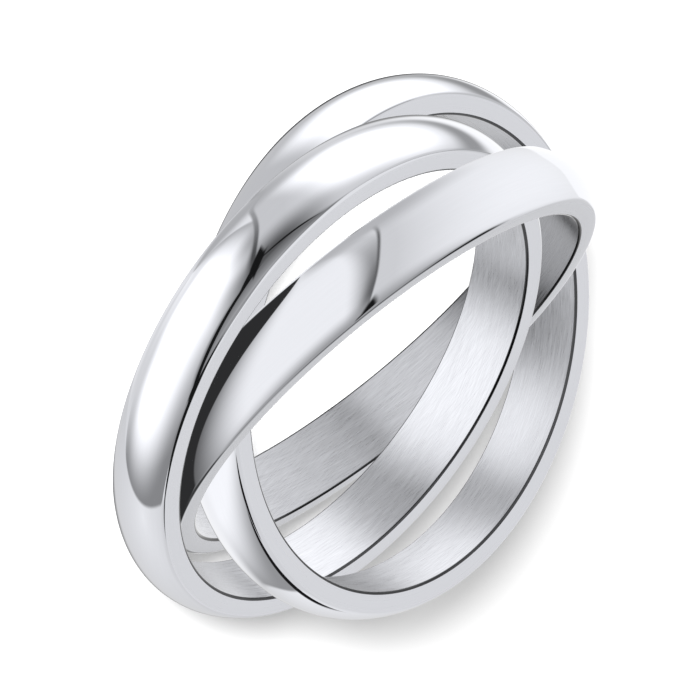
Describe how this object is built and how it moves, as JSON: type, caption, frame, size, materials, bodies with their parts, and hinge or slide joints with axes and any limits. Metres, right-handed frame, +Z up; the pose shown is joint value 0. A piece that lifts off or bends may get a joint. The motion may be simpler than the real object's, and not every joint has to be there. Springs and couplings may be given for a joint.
{
  "type": "three-band rolling ring",
  "caption": "Rolling finger ring of plain half-round polished steel bands, each linked through the others, lying on its side.",
  "frame": {"origin": "on the surface the ring lies on, under the middle of its bounding box", "axes": "+Z up from that surface, the ring's shortest side; the raised side of front_band faces -Y"},
  "size_m": [0.0246, 0.0256, 0.0105],
  "materials": {
    "polished_steel": "mirror-polished domes, fine satin side faces and a lightly brushed finger wall"
  },
  "bodies": {
    "middle": {"middle_band": "polished_steel"},
    "front": {"front_band": "polished_steel"},
    "rear": {"rear_band": "polished_steel"}
  },
  "joints": [
    {"name": "front_turn", "type": "hinge", "parent": "middle", "child": "front", "pos_m": [-0.00047, -0.0001, 0.00523], "axis": [0.2868, 0.2038, 0.9361], "continuous": true},
    {"name": "rear_turn", "type": "hinge", "parent": "middle", "child": "rear", "pos_m": [-0.00117, 0.00167, 0.00519], "axis": [-0.2407, -0.251, 0.9376], "continuous": true}
  ]
}
